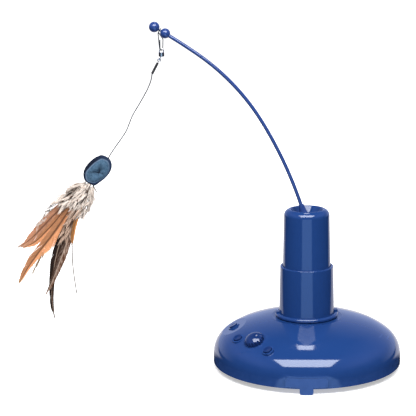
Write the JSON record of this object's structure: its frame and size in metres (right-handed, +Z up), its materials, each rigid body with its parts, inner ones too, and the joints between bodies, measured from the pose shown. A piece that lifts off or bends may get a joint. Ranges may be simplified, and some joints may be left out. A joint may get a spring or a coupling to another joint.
{
  "type": "electronic cat toy",
  "caption": "Round battery-driven base with a geared tower that turns a curved wand, from which a feathered stuffed lure hangs on a line and swivel.",
  "frame": {"origin": "on the floor under the feet, on the axis of the tower", "axes": "+Z up along the tower's axis, -X the side that the wand leans to at rest, -Y the side with the controls and the front foot"},
  "size_m": [0.3891, 0.1903, 0.3518],
  "materials": {
    "housing_blue": "deep blue, high gloss",
    "pan_blue": "dark blue, fine texture",
    "foot_blue": "blue soft plastic, satin",
    "control_blue": "dark blue, high gloss",
    "wand_blue": "blue, gloss",
    "steel": "bright wire",
    "screw_steel": "zinc plated",
    "swivel_metal": "bright",
    "bronze": "satin",
    "contact_metal": "nickel plated",
    "gear_nylon": "satin natural nylon",
    "gearbox_nylon": "black, satin",
    "motor_metal": "satin",
    "board_green": "solder mask",
    "switch_black": "satin",
    "cell_jacket": "plain metal jacket",
    "lead_black": "satin",
    "crimp_black": "satin, knurled",
    "line_grey": "braided line",
    "lure_suede": "napped cloth",
    "feather_tan": "barbed vane",
    "feather_brown": "barbed vane",
    "feather_orange": "barbed vane",
    "feather_pale": "barbed vane",
    "down_cream": "fluffy down"
  },
  "bodies": {
    "root": {"base_dome": "housing_blue", "bottom_pan": "pan_blue", "battery_door": "pan_blue", "foot_front": "foot_blue", "foot_rear_right": "foot_blue", "foot_rear_left": "foot_blue", "base_screws": "screw_steel", "cell_left": "cell_jacket", "cell_middle": "cell_jacket", "cell_right": "cell_jacket", "contact_plates": "contact_metal", "contact_springs": "contact_metal", "control_board": "board_green", "side_board": "board_green", "board_screws": "screw_steel", "tact_switches": "switch_black", "dial_pot": "switch_black", "tower_lower": "housing_blue", "tower_upper": "housing_blue", "gearbox_base": "gearbox_nylon", "gearbox_cap": "gearbox_nylon", "gearbox_screws": "screw_steel", "idler_pin": "steel", "motor_can": "motor_metal", "motor_screws": "screw_steel", "shaft_bush": "bronze", "motor_leads": "lead_black", "battery_leads": "lead_black"},
    "wand": {"wand_hub": "wand_blue", "wand_rod": "wand_blue", "bead_inner": "wand_blue", "bead_tip": "wand_blue", "output_shaft": "steel", "output_gear": "gear_nylon"},
    "gear_high": {"idler_gear_high": "gear_nylon"},
    "gear_mid": {"idler_gear_mid": "gear_nylon"},
    "gear_low": {"idler_gear_low": "gear_nylon"},
    "rotor": {"motor_shaft": "steel", "motor_pinion": "bronze"},
    "dial": {"dial_knob": "control_blue", "dial_shaft": "switch_black"},
    "lower_button": {"button_lower": "control_blue"},
    "upper_button": {"button_upper": "control_blue"},
    "side_button": {"button_side": "control_blue"},
    "snap_link": {"snap": "steel", "swivel_barrel": "swivel_metal"},
    "swivel_tilt": {"swivel_pin": "swivel_metal"},
    "lure": {"swivel_ring": "swivel_metal", "line_crimp": "crimp_black", "lure_line": "line_grey", "lure_body": "lure_suede", "feather_tan_upper": "feather_tan", "feather_pale": "feather_pale", "feather_tan_lower": "feather_tan", "feather_tan_large": "feather_tan", "feather_streaked": "feather_brown", "feather_dark": "feather_brown", "feather_orange": "feather_orange", "down_plume": "down_cream"}
  },
  "joints": [
    {"name": "wand_turn", "type": "hinge", "parent": "root", "child": "wand", "pos_m": [0, 0, 0.15], "axis": [0, 0, 1], "continuous": true},
    {"name": "idler_high_turn", "type": "hinge", "parent": "root", "child": "gear_high", "pos_m": [0.0105, 0, 0.1], "axis": [0, 0, 1], "continuous": true},
    {"name": "idler_mid_turn", "type": "hinge", "parent": "root", "child": "gear_mid", "pos_m": [0, 0, 0.1], "axis": [0, 0, 1], "continuous": true},
    {"name": "idler_low_turn", "type": "hinge", "parent": "root", "child": "gear_low", "pos_m": [0.0105, 0, 0.1], "axis": [0, 0, 1], "continuous": true},
    {"name": "motor_turn", "type": "hinge", "parent": "root", "child": "rotor", "pos_m": [0, 0, 0.1], "axis": [0, 0, 1], "continuous": true},
    {"name": "dial_turn", "type": "hinge", "parent": "root", "child": "dial", "pos_m": [-0.05223, -0.05242, 0.04175], "axis": [-0.3162, -0.3173, 0.8941], "range_deg": [-135, 135]},
    {"name": "lower_button_press", "type": "slide", "parent": "root", "child": "lower_button", "axis": [0.3162, 0.3173, -0.8941], "range_m": [0, 0.0008], "stiffness_N_per_m": 800},
    {"name": "upper_button_press", "type": "slide", "parent": "root", "child": "upper_button", "axis": [0.3162, 0.3173, -0.8941], "range_m": [0, 0.0008], "stiffness_N_per_m": 800},
    {"name": "side_button_press", "type": "slide", "parent": "root", "child": "side_button", "axis": [0.4592, -0.0096, -0.8883], "range_m": [0, 0.0008], "stiffness_N_per_m": 800},
    {"name": "snap_swing", "type": "hinge", "parent": "wand", "child": "snap_link", "pos_m": [-0.14432, 0, 0.34331], "axis": [-0.8587, 0, 0.5125], "range_deg": [-60, 60]},
    {"name": "line_swing", "type": "hinge", "parent": "snap_link", "child": "swivel_tilt", "pos_m": [-0.143, 0, 0.3184], "axis": [0, 1, 0], "range_deg": [-32, 20]},
    {"name": "lure_spin", "type": "hinge", "parent": "swivel_tilt", "child": "lure", "pos_m": [-0.143, 0, 0.3184], "axis": [-0.4756, 0, -0.8797], "continuous": true}
  ],
  "couplings": [
    {"joint": "idler_high_turn", "follows": "wand_turn", "ratio": -2.5},
    {"joint": "idler_mid_turn", "follows": "wand_turn", "ratio": 6.25},
    {"joint": "idler_low_turn", "follows": "wand_turn", "ratio": -15.625},
    {"joint": "motor_turn", "follows": "wand_turn", "ratio": 39.062}
  ]
}
